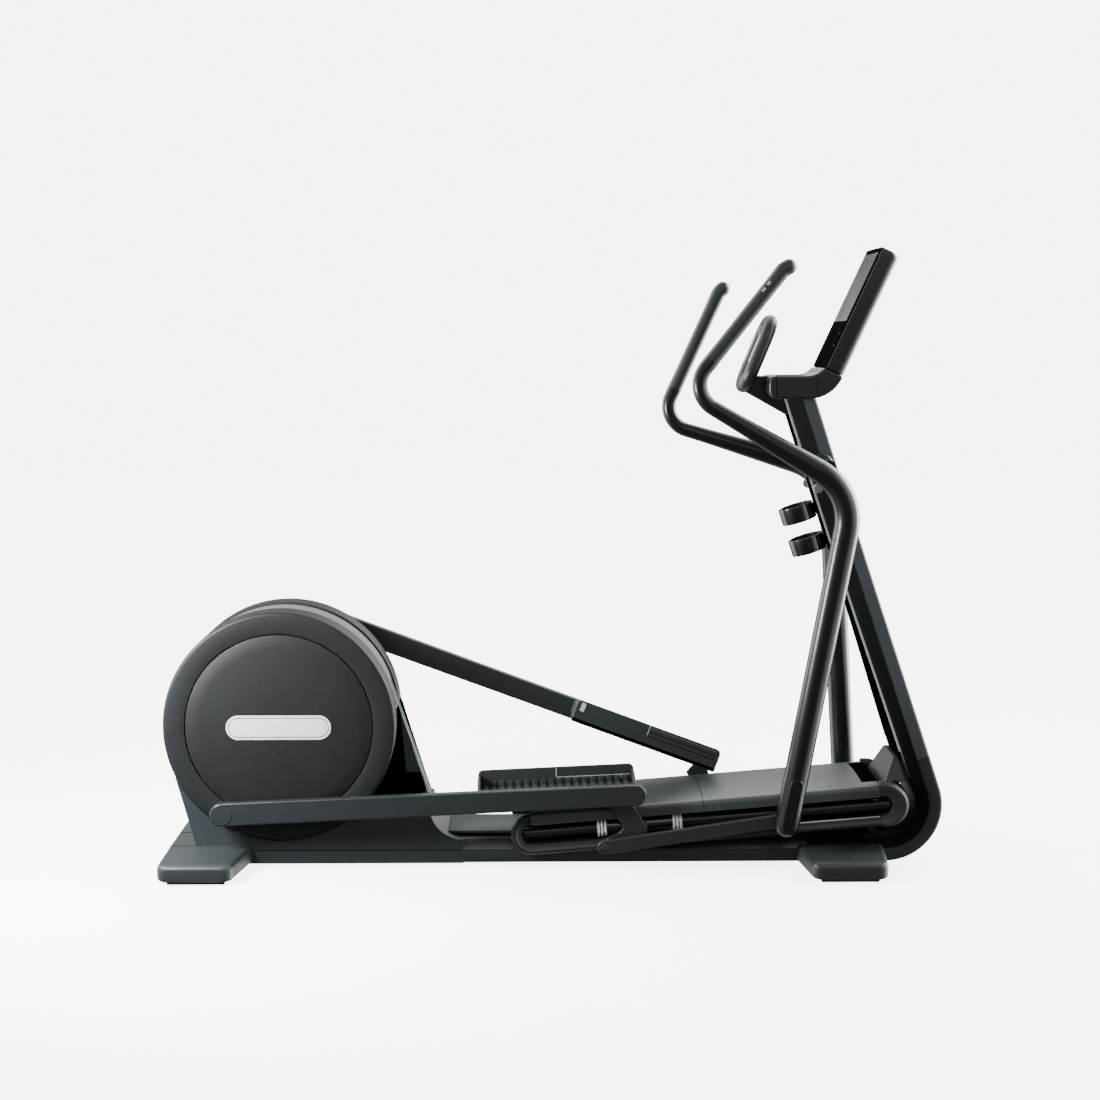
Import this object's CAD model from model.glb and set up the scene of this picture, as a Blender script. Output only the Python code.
"""Rear-drive elliptical trainer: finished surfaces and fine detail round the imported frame.

Lengths in the geometry are millimetres in the part's own frame (+X forwards, +Y to the user's left, +Z up);
build() turns them into metres. Right-hand pieces are built first and mirrored for the left.
"""
import math

import bmesh
import bpy
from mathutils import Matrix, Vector


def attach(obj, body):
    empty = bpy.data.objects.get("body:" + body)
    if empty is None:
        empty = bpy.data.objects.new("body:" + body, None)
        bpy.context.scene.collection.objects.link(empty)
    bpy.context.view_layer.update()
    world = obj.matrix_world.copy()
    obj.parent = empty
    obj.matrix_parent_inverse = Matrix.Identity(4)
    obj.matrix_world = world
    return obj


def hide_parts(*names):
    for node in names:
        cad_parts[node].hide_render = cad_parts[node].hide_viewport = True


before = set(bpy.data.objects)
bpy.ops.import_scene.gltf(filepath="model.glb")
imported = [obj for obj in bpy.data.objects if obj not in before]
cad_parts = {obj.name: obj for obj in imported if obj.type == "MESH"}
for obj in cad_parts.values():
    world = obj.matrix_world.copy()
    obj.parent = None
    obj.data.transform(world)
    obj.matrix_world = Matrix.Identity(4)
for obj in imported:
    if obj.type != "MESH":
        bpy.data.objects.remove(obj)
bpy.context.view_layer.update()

# ---------------------------------------------------------------- driving dimensions, in millimetres
PER_METRE = 1000
GAP = 0.3
AXIS_R = 0.01  # smallest radius of a solid turned piece

# Crank discs, drum and pedestal
CRANK = (-740.5, 387.0)
DISC_R, COVER_R, DISC_FACE, DISC_INNER, HUB_BORE = 312.0, 251.0, 142.0, 57.0, 17.3
BADGE_REACH = 108
DRUM_R, DRUM_HALF, DRUM_LEAN = 306.0, 55.0, math.radians(19.2)
DRUM_RECESS = ((-424, 431), (-352, 202), (-338, 158), (-560, 158), (-480, 300), (-440, 400))
DRUM_PANEL = ((-420, 420), (-405, 246), (-368, 243))
PEDESTAL_TOP, PEDESTAL_REAR, PEDESTAL_SWEEP = 152.7, -957, 92
PEDESTAL_SWEEP_END, PEDESTAL_SEAT_END = -172, -154  # angles in degrees
PEDESTAL_SCREW = (-855, 100.5)

# Base beam, bend and mast
BODY_HALF = 128.0
BASE_Z0, BASE_SIDE, BASE_CHAMFER, BASE_DEPTH = 7.5, 38.0, 22.0, 66.0
BEND = (901.7, 162.5)
BEND_R, BEND_DEPTH = 155.0, 71.0
MAST_LEAN, MAST_DEPTH, MAST_TOP, MAST_SEAM = math.radians(18.2), 76.0, 1262.0, 300.0
MAST_HALF, MAST_REAR_HALF = 85.0, 42.0
MAST_PLUG = (708, 1025)
PANEL_FROM, STRIP_FROM = 300, 330
BASE_PLATE = ((-289, 80, 3), (-62, 80, 0), (-62, 88, 0), (-289, 88, 4))
SEAM_REAR, SEAM_FRONT = -246.0, 687.0

# Feet: rear and front edge at the frame, then at the tip
FOOT_HALF, FOOT_BOTTOM, FOOT_TOP, FOOT_ROUND = 310.0, 10.5, 58.0, 26.0
FOOT_SPANS = {"rear": (-1046, -820, -1046, -846), "front": (660, 895, 677, 880)}
PAD_SPANS = {"rear": (-1020, -868), "front": (702, 856)}
PAD_TOP, PAD_IN, PAD_OUT = 10.2, 225, 295

# Ramp, rails and front bracket; LIP is (share of the way out from the slot, distance from the middle)
RAIL = (-60.9, 90.8)
RAIL_SLOPE, RAIL_LENGTH = math.radians(4.58), 951.7
SLOT_HALF, RAIL_HALF, RAIL_IN, RAIL_OUT = 27.0, 57.0, 131.0, 156.0
NOSE_TIP, NOSE_TOP = 17, 10
COVER_SEAM, COVER_CROWN, COVER_SHOULDER = 469.0, 68.0, 58
RECESS_FROM = 905
ROD_R, ROD_Y = 15.0, 128.0
LIP = ((0, 132), (0, 146), (0.06, 149.5), (0.2, 151), (0.36, 151.5), (0.5, 154.5), (0.62, 156), (0.8, 155.5),
       (0.93, 151), (1, 143), (1, 132))
BRACKET_R, BRACKET_HALF, BRACKET_FOOT = 76, 126, (872, 96)
NECK_FOOT = ((893, 210), (957, 228), 118)  # rear edge, front edge, half width
NECK_TOP = ((930, 288), (943, 288), 72)

# Carriages, links and drag links
CARRIAGE_PLATE = ((198, 222), (217, 231), (236, 222), (240, 209), (212, 174), (248, 118), (241, 97),
                  (160, 80), (146, 56), (134, 50), (121, 55), (118, 68), (126, 79), (172, 100), (186, 115),
                  (150, 172))
PLATE_IN, PLATE_OUT = 158.0, 168.0
SLEEVE_R, SLEEVE_LENGTH, SLEEVE_AT = 22.0, 210.0, 292.8
RING_R, RING_LENGTH, RING_RIBS = 25.0, 12.0, 3
LINK_PIVOT = (217.0, 209.5)
LINK_LENGTH, LINK_ANGLE = 1108.7, math.radians(2.55)
LINK_REAR, LINK_FRONT, LINK_IN, LINK_OUT = 31.0, 28.5, 170.0, 196.0
DRAG = (134.0, 66.4)
DRAG_LENGTH, DRAG_ANGLE, DRAG_REAR, DRAG_FRONT = 488.6, math.radians(8.7), 19.0, 17.5
DRAG_IN, DRAG_OUT, DRAG_PIN_OUT = 174.0, 192.0, 198

# Footplates, in the link's own coordinates
PEDAL_REAR, PEDAL_FRONT, PEDAL_IN, PEDAL_OUT = -424.0, 4.0, 40.0, 155.0
PEDAL_UNDER, PEDAL_FLOOR, PEDAL_RIM, PEDAL_WALL = -10.0, 2.0, 54.5, 7.0
PEDAL_SEAM, EAR_LENGTH, EARS = 25, 40, (-330, -90)
TREAD_RIBS, TREAD_WIDTH = 18, 13

# Arms and grips
ARM_PIVOT = (717.0, 1088.0)
ARM_Y, ARM_R, ARM_TOP_R, ARM_LEAN = 230.0, 33.0, 19.7, math.radians(10.4)
ARM_SEAM, ARM_LENGTH = 134, 936.7
RECESS_LOW, RECESS_HIGH, RECESS_R = 905, 790, 17  # down the arm from its corner
ARM_CORNER, ARM_BACK, ARM_CORNER_R, ARM_BACK_R = (780.3, 1027.6), (340.0, 1285.8), 150, 70
GRIP_START, GRIP_BEND, GRIP_TIP = (400.7, 1362.0), (588.0, 1600.0), (619.5, 1617.0)
GRIP_R, GRIP_BEND_R, COLLAR_R = 20.0, 28, 20.4
KEY_SHARES, KEY_OFFSET = (0.76, 0.83), 9

# Console, handlebar loop and bottle rings
CONSOLE_HALF, CONSOLE_TILT, CONSOLE_THICK, CONSOLE_HEIGHT = 107.0, math.radians(24.6), 56.5, 348.0
CONSOLE_BOTTOM, CONSOLE_TOP, TRAY_REAR = 1264.3, 1326.0, 572
SEAT = (718.7, 1349.5)
DISPLAY_ROUND, DISPLAY_FRONT, SCREEN_FOOT = 22, 5.2, 134
LOOP_FOOT, LOOP_LEAN = (514.3, 1298.2), math.radians(22.4)
LOOP_HALF, LOOP_REACH, LOOP_TURN, LOOP_R = 55, 185.5, 50, 19
PULSE_SPAN, PULSE_R, PULSE_OUT = (62, 138), 13.6, 6
WEDGE = ((516.7, 1283, 6), (631, 1219, 2), (636, 1221, 0), (622, 1264, 0), (618, 1275, 0), (590, 1290, 0),
         (582, 1324, 0), (550, 1324, 8))
BOTTLE_RINGS = {"upper": (667, 950.5), "lower": (695, 865.5)}
BOTTLE_SECTION = ((42.5, -20), (43, -22), (47.5, -22), (48, -20), (48, 20), (47.5, 22), (43, 22), (42.5, 20))

# How far the left side stands from the mirror image of the right at rest
LEFT_SHIFT, LEFT_PITCH = 232.7, math.radians(22.91)
LEFT_SWING, LEFT_DRAG = math.radians(-13.83), math.radians(1.74)

RIGHT, LEFT = -1, 1
SIDES = ((RIGHT, "right"), (LEFT, "left"))
scene = bpy.context.scene


# ---------------------------------------------------------------- outline helpers (points in X and Z)
def arc(centre, radius, start, end, steps):
    """Points on an arc, angles in degrees, ends included."""
    points = []
    for i in range(steps + 1):
        a = math.radians(start + (end - start) * i / steps)
        points.append((centre[0] + radius * math.cos(a), centre[1] + radius * math.sin(a)))
    return points


def fillet(here, back, ahead, radius, steps):
    """Points of the arc that rounds the corner at here, from the side of back to the side of ahead."""
    back, ahead = back.normalized(), ahead.normalized()
    half = math.acos(max(-1, min(1, back.dot(ahead)))) / 2
    centre = here + (back + ahead).normalized() * (radius / math.sin(half))
    start = here + back * (radius / math.tan(half)) - centre
    end = here + ahead * (radius / math.tan(half)) - centre
    a0, a1 = math.atan2(start.y, start.x), math.atan2(end.y, end.x)
    turn = (a1 - a0 + math.pi) % (2 * math.pi) - math.pi
    angles = [a0 + turn * k / steps for k in range(steps + 1)]
    return [tuple(centre + radius * Vector((math.cos(a), math.sin(a)))) for a in angles]


def rounded(corners, steps=6):
    """A closed outline through corners (x, z, radius), each corner rounded."""
    points = []
    count = len(corners)
    for i, (x, z, r) in enumerate(corners):
        if r <= 0:
            points.append((x, z))
            continue
        here = Vector((x, z))
        back = Vector(corners[i - 1][:2]) - here
        ahead = Vector(corners[(i + 1) % count][:2]) - here
        points += fillet(here, back, ahead, r, steps)
    return points


def box(x0, x1, z0, z1, lower=0, upper=0, steps=6):
    """A rectangle with rounding radii for its two lower and its two upper corners."""
    return rounded([(x0, z0, lower), (x1, z0, lower), (x1, z1, upper), (x0, z1, upper)], steps)


def run_to(a, b, count):
    """The points strictly between a and b that part the line into count equal runs."""
    return [a.lerp(b, k / count) for k in range(1, count)]


def bent_path(corners, steps=14, straight=6):
    """An open path through corners (x, z, radius) with round bends and a few points on each straight."""
    path = [Vector(corners[0][:2])]
    for i in range(1, len(corners) - 1):
        back, here, ahead = [Vector(corner[:2]) for corner in corners[i - 1:i + 2]]
        bend = fillet(here, back - here, ahead - here, corners[i][2], steps)
        path += run_to(path[-1], Vector(bend[0]), straight)
        path += [Vector(p) for p in bend]
    return path + run_to(path[-1], Vector(corners[-1][:2]), straight) + [Vector(corners[-1][:2])]


def stadium(a, b, radius, end_radius=None, steps=16):
    """A bar outline from a to b with round ends."""
    angle = math.degrees(math.atan2(b[1] - a[1], b[0] - a[0]))
    return (arc(a, radius, angle + 270, angle + 90, steps)
            + arc(b, end_radius or radius, angle + 90, angle - 90, steps))


def on_rail(u, h=0.0):
    """The (x, z) of a point u along the rail and h above its middle line."""
    c, s = math.cos(RAIL_SLOPE), math.sin(RAIL_SLOPE)
    return (RAIL[0] + u * c - h * s, RAIL[1] + u * s + h * c)


def on_link(u, v=0.0):
    """The (x, z) of a point u ahead of the link's pivot and v above its middle line."""
    c, s = math.cos(LINK_ANGLE), math.sin(LINK_ANGLE)
    return (LINK_PIVOT[0] + u * c - v * s, LINK_PIVOT[1] + u * s + v * c)


def mix(a, b, t):
    return a + (b - a) * t


def smooth(t):
    t = max(0.0, min(1.0, t))
    return t * t * (3 - 2 * t)


# ---------------------------------------------------------------- mesh helpers (vertices in millimetres)
def wrap(n):
    """Faces of a body made of two outlines of n points each: the ends and the sides between them."""
    ends = [tuple(range(n)), tuple(range(2 * n - 1, n - 1, -1))]
    return ends + [(i, (i + 1) % n, n + (i + 1) % n, n + i) for i in range(n)]


def prism(outline, y0, y1):
    """An XZ outline extruded along Y."""
    return [(x, y, z) for y in (y0, y1) for x, z in outline], wrap(len(outline))


def slab(outline, half):
    """An XZ outline extruded equally to both sides."""
    return prism(outline, -half, half)


def side_prism(outline, side, near, far):
    """An XZ outline extruded on one side, between two distances from the middle."""
    return prism(outline, *sorted((side * near, side * far)))


def loft(rings, closed=False):
    """Rings of 3-D points joined in order. An open loft gets end faces."""
    n = len(rings[0])
    verts = [p for ring in rings for p in ring]
    faces = []
    spans = len(rings) if closed else len(rings) - 1
    for r in range(spans):
        s = (r + 1) % len(rings)
        faces += [(r * n + i, r * n + (i + 1) % n, s * n + (i + 1) % n, s * n + i) for i in range(n)]
    if not closed:
        faces += [tuple(range(n)), tuple((len(rings) - 1) * n + i for i in reversed(range(n)))]
    return verts, faces


def lathe(profile, centre, side=1, segments=128):
    """A closed profile of (radius, y) turned about an axis along Y; y runs outwards on the given side."""
    rings = []
    for k in range(segments):
        a = 2 * math.pi * k / segments
        c, s = math.cos(a), math.sin(a)
        rings.append([(centre[0] + r * c, side * y, centre[1] + r * s) for r, y in profile])
    return loft(rings, closed=True)


def tube(path, radius, y, sides=40):
    """A round bar along an XZ path at one y. radius is a number or a function of the share of length run."""
    radius_at = radius if callable(radius) else (lambda t: radius)
    run = [0.0]
    for a, b in zip(path, path[1:]):
        run.append(run[-1] + (b - a).length)
    rings = []
    for i, p in enumerate(path):
        along = (path[min(i + 1, len(path) - 1)] - path[max(i - 1, 0)]).normalized()
        r = radius_at(run[i] / run[-1])
        ring = []
        for k in range(sides):
            a = 2 * math.pi * k / sides
            across = r * math.cos(a)
            ring.append((p.x - along.y * across, y + r * math.sin(a), p.y + along.x * across))
        rings.append(ring)
    return loft(rings)


def domed(path, radius, steps=8):
    """Adds points near the end of a path for a round tip. Returns the path and its radius function."""
    end, before = path[-1], path[-2]
    length = sum((b - a).length for a, b in zip(path, path[1:]))
    direction = (end - before).normalized()
    while (end - path[-2]).length < radius * 1.1 and len(path) > 2:
        path = path[:-2] + path[-1:]
    extra = [end - direction * radius * (1 - math.sin(math.pi / 2 * k / steps)) for k in range(steps + 1)]
    start = 1 - radius / length

    def radius_at(t):
        if t <= start:
            return radius
        return radius * math.sqrt(max(0.0004, 1 - ((t - start) / (1 - start)) ** 2))

    return path[:-1] + extra, radius_at


def join(*parts):
    """Several (vertices, faces) shapes as one."""
    verts, faces = [], []
    for part_verts, part_faces in parts:
        base = len(verts)
        verts += part_verts
        faces += [tuple(base + i for i in face) for face in part_faces]
    return verts, faces


def left_place(origin, target, turn):
    """Carries a mirrored right-hand piece from origin to target, turned about +Y."""
    def move(p):
        x, z = p[0] - origin[0], p[2] - origin[1]
        c, s = math.cos(turn), math.sin(turn)
        return (target[0] + x * c + z * s, -p[1], target[1] - x * s + z * c)
    return move


def mirror_only(p):
    return (p[0], -p[1], p[2])


def build(name, shape, material, body, nodes=(), slot=None, bevel=0.0, segments=3, angle=32, place=None,
          second=None, second_faces=()):
    """Makes one finished piece from (vertices, faces) in millimetres and puts it on its body.

    second is another material, for the faces listed in second_faces."""
    verts, faces = shape
    if place:
        verts = [place(p) for p in verts]
    mesh = bpy.data.meshes.new(name)
    mesh.from_pydata([tuple(value / PER_METRE for value in p) for p in verts], [], faces)
    mesh.materials.append(material)
    if second:
        mesh.materials.append(second)
        for i in second_faces:
            mesh.polygons[i].material_index = 1
    work = bmesh.new()
    work.from_mesh(mesh)
    bmesh.ops.remove_doubles(work, verts=work.verts, dist=1e-6)
    bmesh.ops.recalc_face_normals(work, faces=work.faces)
    work.to_mesh(mesh)
    work.free()
    piece = bpy.data.objects.new(name, mesh)
    scene.collection.objects.link(piece)
    mesh.shade_smooth()
    if bevel:
        mod = piece.modifiers.new("edge_round", "BEVEL")
        mod.width = bevel / PER_METRE
        mod.segments = segments
        mod.limit_method = "ANGLE"
        mod.angle_limit = math.radians(angle)
        mod.harden_normals = True
        mod.use_clamp_overlap = True
    else:
        mesh.set_sharp_from_angle(angle=math.radians(angle))
    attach(piece, body)
    if nodes:
        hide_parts(*nodes)
    return piece


def on_frame(name, shape, material, slot, nodes=(), **options):
    """Builds one piece on the frame."""
    return build(name, shape, material, "frame", nodes, slot, **options)


def pairs(bodies, place=mirror_only):
    """A function that builds right-hand pieces and their mirror images on a pair of bodies.

    bodies, and the nodes given to the function, hold {} for right or left."""
    def add(name, shape, material, slot, nodes=(), **options):
        for side, hand in SIDES:
            own = [node.format(hand) for node in nodes]
            build(f"{name}_{hand}", shape, material, bodies.format(hand), own, slot,
                  place=None if side == RIGHT else place, **options)
    return add


# ---------------------------------------------------------------- materials
def srgb(text):
    """A linear colour from a six-digit sRGB code."""
    values = [int(text[i:i + 2], 16) / 255 for i in (0, 2, 4)]
    return tuple(v / 12.92 if v <= 0.04045 else ((v + 0.055) / 1.055) ** 2.4 for v in values) + (1.0,)


def finish(name, colour, roughness, metallic=0.0, coat=0.0, coat_roughness=0.2, grain=0.25, grain_scale=900.0,
           tone=0.10, streak=None, specular=0.5, spread=0.03):
    """A moulded or painted finish: uneven tone, uneven gloss and a fine surface grain.

    streak stretches the texture along one axis, as brushing does, given as a scale per axis.
    spread is how far the roughness wanders either side of its value."""
    material = bpy.data.materials.new(name)
    material.use_nodes = True
    nodes, links = material.node_tree.nodes, material.node_tree.links
    shader = nodes["Principled BSDF"]
    for socket, value in (("Metallic", metallic), ("Coat Weight", coat), ("Coat Roughness", coat_roughness),
                          ("Specular IOR Level", specular)):
        shader.inputs[socket].default_value = value
    coords = nodes.new("ShaderNodeTexCoord")
    mapping = nodes.new("ShaderNodeMapping")
    mapping.inputs["Scale"].default_value = streak or (1, 1, 1)
    links.new(coords.outputs["Object"], mapping.inputs["Vector"])

    def noise(scale, detail):
        node = nodes.new("ShaderNodeTexNoise")
        node.inputs["Scale"].default_value = scale
        node.inputs["Detail"].default_value = detail
        links.new(mapping.outputs["Vector"], node.inputs["Vector"])
        return node.outputs["Fac"]

    base = srgb(colour)
    ramp = nodes.new("ShaderNodeValToRGB")
    ramp.color_ramp.elements[0].position = 0.32
    ramp.color_ramp.elements[1].position = 0.68
    ramp.color_ramp.elements[0].color = tuple(c * (1 - tone) for c in base[:3]) + (1,)
    ramp.color_ramp.elements[1].color = tuple(min(1, c * (1 + tone)) for c in base[:3]) + (1,)
    speckle = nodes.new("ShaderNodeMath")
    speckle.operation = "MULTIPLY_ADD"
    links.new(noise(grain_scale, 2), speckle.inputs[0])
    speckle.inputs[1].default_value = 0.7
    clouds = nodes.new("ShaderNodeMath")
    clouds.operation = "MULTIPLY"
    clouds.inputs[1].default_value = 0.3
    links.new(noise(7.0, 3), clouds.inputs[0])
    links.new(clouds.outputs[0], speckle.inputs[2])
    links.new(speckle.outputs[0], ramp.inputs["Fac"])
    links.new(ramp.outputs["Color"], shader.inputs["Base Color"])

    gloss = nodes.new("ShaderNodeMapRange")
    for socket, value in (("From Min", 0.3), ("From Max", 0.7), ("To Min", max(0.03, roughness - spread)),
                          ("To Max", roughness + spread)):
        gloss.inputs[socket].default_value = value
    links.new(noise(55.0, 4), gloss.inputs["Value"])
    links.new(gloss.outputs["Result"], shader.inputs["Roughness"])

    if grain:
        raise_surface(material, noise(grain_scale, 3), grain, 0.0003)
    return material


def raise_surface(material, height, strength, distance):
    """Lets a texture's height tilt the surface, distance in metres."""
    nodes, links = material.node_tree.nodes, material.node_tree.links
    bump = nodes.new("ShaderNodeBump")
    bump.inputs["Strength"].default_value = strength
    bump.inputs["Distance"].default_value = distance
    links.new(height, bump.inputs["Height"])
    links.new(bump.outputs["Normal"], nodes["Principled BSDF"].inputs["Normal"])


def ribbed(name, colour, roughness, axis, pitch, depth=0.001, metallic=0.0):
    """A finish with parallel ribs across one axis, pitch and depth in metres."""
    material = finish(name, colour, roughness, metallic, grain=0.0)
    nodes, links = material.node_tree.nodes, material.node_tree.links
    wave = nodes.new("ShaderNodeTexWave")
    wave.bands_direction = axis
    wave.inputs["Scale"].default_value = math.pi / (10 * pitch)
    coords = nodes.new("ShaderNodeTexCoord")
    links.new(coords.outputs["Object"], wave.inputs["Vector"])
    raise_surface(material, wave.outputs["Fac"], 1.0, depth)
    return material


def screen_finish(foot_height=1.47, top_height=1.66):
    """Matt glass that grades from mid grey at the foot of the screen to dark grey at its top."""
    material = finish("screen_glass", "303438", 0.3, grain=0.0, specular=0.03)
    nodes, links = material.node_tree.nodes, material.node_tree.links
    coords = nodes.new("ShaderNodeTexCoord")
    split = nodes.new("ShaderNodeSeparateXYZ")
    links.new(coords.outputs["Object"], split.inputs[0])
    height = nodes.new("ShaderNodeMapRange")
    height.inputs["From Min"].default_value = foot_height
    height.inputs["From Max"].default_value = top_height
    links.new(split.outputs["Z"], height.inputs["Value"])
    ramp = nodes.new("ShaderNodeValToRGB")
    ramp.color_ramp.elements[0].color = srgb("5f6466")
    ramp.color_ramp.elements[1].color = srgb("212527")
    links.new(height.outputs["Result"], ramp.inputs["Fac"])
    links.new(ramp.outputs["Color"], nodes["Principled BSDF"].inputs["Base Color"])
    return material


SATIN = finish("satin_charcoal_paint", "212629", 0.36, coat=0.6, coat_roughness=0.3, grain=0.15)
FRAME = finish("frame_charcoal_paint", "242a2d", 0.4, coat=0.4, coat_roughness=0.3, grain=0.3,
               grain_scale=1200)
UPRIGHT = finish("mast_side_paint", "42484b", 0.42, coat=1.0, coat_roughness=0.2, grain=0.4, grain_scale=1000,
                 tone=0.16)
INNER = finish("mast_inner_black", "121516", 0.55, grain=0.0, specular=0.03)
DISC = finish("disc_moulded_charcoal", "101315", 0.55, grain=0.8, grain_scale=420, tone=0.35, specular=0.3)
DRUM = finish("drum_moulded_grey", "5c6266", 0.45, grain=0.4, grain_scale=650, tone=0.12)
SHELL = finish("moulded_black_plastic", "0e1214", 0.4, coat=0.3, coat_roughness=0.3, grain=0.15,
               grain_scale=1000)
RAMP = finish("ramp_cover_grey", "3c4143", 0.42, grain=0.25, grain_scale=800)
RAMP_SIDE = finish("ramp_side_charcoal", "14191b", 0.4, coat=0.15, grain=0.2, grain_scale=800)
PLATE = finish("base_plate_paint", "3a3f41", 0.5, grain=0.2, specular=0.12)
FOOT = finish("foot_cover_grey", "262b2d", 0.48, grain=0.4, grain_scale=800)
BLACK = finish("deep_black_plastic", "040505", 0.7, grain=0.2, specular=0.0)
BEZEL = finish("display_bezel_black", "0b0d0e", 0.6, grain=0.0, specular=0.0)
ROD = finish("black_guide_rod", "1a1e20", 0.3, grain=0.0, specular=0.4)
GLOSS = finish("gloss_black", "07090a", 0.22, coat=0.4, coat_roughness=0.15, grain=0.0)
RUBBER = finish("soft_rubber", "1d2224", 0.42, coat=0.3, coat_roughness=0.35, grain=0.0, tone=0.02,
                spread=0.01)
TREAD = finish("tread_rubber", "24292b", 0.6, grain=0.4, grain_scale=900, tone=0.2)
TUBE = finish("arm_tube_paint", "0e1214", 0.3, coat=0.4, coat_roughness=0.22, grain=0.0, tone=0.02,
              specular=0.28, spread=0.01)
EDGE = finish("light_edge_trim", "6d7274", 0.35, metallic=0.4, grain=0.2)
BRIGHT = finish("bright_trim_line", "d2d5d6", 0.3, metallic=0.2, grain=0.1)
SILVER = finish("brushed_silver", "e2e5e7", 0.38, metallic=0.15, grain=0.2, grain_scale=300, tone=0.06,
                streak=(0.05, 1, 1))
PULSE = ribbed("ribbed_silver_plate", "b4b8ba", 0.3, "Z", 0.006, metallic=0.5)
STEEL = finish("machined_steel", "9b9ea0", 0.3, metallic=1.0, grain=0.2, streak=(1, 0.1, 1))
CLEAR = finish("pale_bearing_ring", "f4f6f7", 0.15, coat=0.8, grain=0.1, grain_scale=300)
BELT = finish("belt_rubber", "101112", 0.7, grain=0.5)
GOLD = finish("brass_contact", "e0b850", 0.3, metallic=0.7, grain=0.1)
GREY = finish("grey_tab_plastic", "7d8284", 0.4, grain=0.3)
GLASS = screen_finish()


def repaint(node, material):
    """Gives a CAD node that stays in view its finished material."""
    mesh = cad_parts[node].data
    if not mesh.materials:
        mesh.materials.append(material)
    for i in range(len(mesh.materials)):
        mesh.materials[i] = material


# ---------------------------------------------------------------- frame sections
SECTION_POINTS = 30
CHAMFER_FACES = (9, 10, 11, 17, 18, 19)


def chamfers(rings):
    """Indices of the chamfer faces in a loft of frame sections."""
    return [span * SECTION_POINTS + i for span in range(len(rings) - 1) for i in CHAMFER_FACES]


def raised_to_tray(p):
    """Carries a point up the mast's lean to just under the console tray."""
    level = CONSOLE_BOTTOM - GAP
    return (p[0] - (level - p[2]) * math.tan(MAST_LEAN), p[1], level)


def station(outer, inward, half, inner, depth):
    """One section of the beam: flat outer face, sides with a groove, chamfers towards the inner face."""
    side = BASE_SIDE
    fall = (half - inner) / (depth - side)
    edge = [(0.2, half - 9), (1.0, half - 5), (2.8, half - 2.2), (6, half - 0.6), (10, half),
            (side - 5, half), (side - 3, half - 0.3), (side - 2.4, half - 2.4), (side - 0.6, half - 2.4),
            (side, half - 0.6),
            (side + 2, half - 2 * fall), (depth - 7, inner + 7 * fall), (depth - 3.5, inner + 2.6 * fall),
            (depth - 1.2, inner - 1), (depth - 0.2, inner - 6)]
    ring = edge + [(d, -y) for d, y in reversed(edge)]
    assert len(ring) == SECTION_POINTS
    return [(outer[0] + inward[0] * d, y, outer[1] + inward[1] * d) for d, y in ring]


def base_station(x):
    return station((x, BASE_Z0), (0, 1), BODY_HALF, BODY_HALF - BASE_CHAMFER, BASE_DEPTH)


def bend_station(angle):
    c, s = math.cos(angle), math.sin(angle)
    t = (angle + math.pi / 2) / (math.pi / 2 + MAST_LEAN)
    outer = (BEND[0] + BEND_R * c, BEND[1] + BEND_R * s)
    depth = mix(BASE_DEPTH, BEND_DEPTH, smooth(t))
    return station(outer, (-c, -s), BODY_HALF, BODY_HALF - BASE_CHAMFER, depth)


def mast_sizes(z):
    """Front edge (x, z) of the mast at height z, with its half width, inner half width and depth there."""
    start = (BEND[0] + BEND_R * math.cos(MAST_LEAN), BEND[1] + BEND_R * math.sin(MAST_LEAN))
    outer = (start[0] - (z - start[1]) * math.tan(MAST_LEAN), z)
    t = (z - start[1]) / (MAST_TOP - start[1])
    share = smooth(min(1, t * 1.4))
    half = mix(BODY_HALF, MAST_HALF, share)
    inner = mix(BODY_HALF - BASE_CHAMFER, MAST_REAR_HALF, share)
    return outer, half, inner, mix(BEND_DEPTH, MAST_DEPTH, smooth(t))


def mast_station(z):
    outer, half, inner, depth = mast_sizes(z)
    return station(outer, (-math.cos(MAST_LEAN), -math.sin(MAST_LEAN)), half, inner, depth)


def build_frame():
    base = [base_station(mix(SEAM_REAR + GAP, SEAM_FRONT - GAP, i / 4)) for i in range(5)]
    bend = [base_station(SEAM_FRONT + 0.8)]
    bend += [bend_station(mix(-math.pi / 2, MAST_LEAN, i / 56)) for i in range(57)]
    bend.append(mast_station(MAST_SEAM - 0.8))
    mast = [mast_station(mix(MAST_SEAM + 0.5, MAST_TOP, i / 30)) for i in range(31)]
    mast.append([raised_to_tray(p) for p in mast[-1]])
    for name, rings, side, chamfer in (("base_beam", base, FRAME, SATIN), ("front_bend", bend, FRAME, INNER),
                                       ("mast", mast, UPRIGHT, INNER)):
        on_frame(f"{name}_skin", loft(rings), side, "frame", [name], second=chamfer,
                 second_faces=chamfers(rings))
    boss = [(13, 84), (13, 103), (27, 103), (30, 100), (30, 84)]
    for side, hand in SIDES:
        on_frame(f"arm_pivot_boss_{hand}", lathe(boss, ARM_PIVOT, side, 48), FRAME, "frame")


def mast_strip(z0, y0, y1, deep, proud):
    """A strip up the inner side of the mast from height z0; y0 and y1 are shares of the inner half width.

    deep and proud are how far it reaches into the mast and out of it."""
    c, s = math.cos(MAST_LEAN), math.sin(MAST_LEAN)
    rings = []
    for i in range(33):
        outer, _, inner, depth = mast_sizes(mix(z0, MAST_TOP, i / 32))
        corners = ((depth - deep, y0), (depth - deep, y1), (depth + proud, y1), (depth + proud, y0))
        rings.append([(outer[0] - c * d, y * inner, outer[1] - s * d) for d, y in corners])
    rings.append([raised_to_tray(p) for p in rings[-1]])
    return loft(rings)


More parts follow.
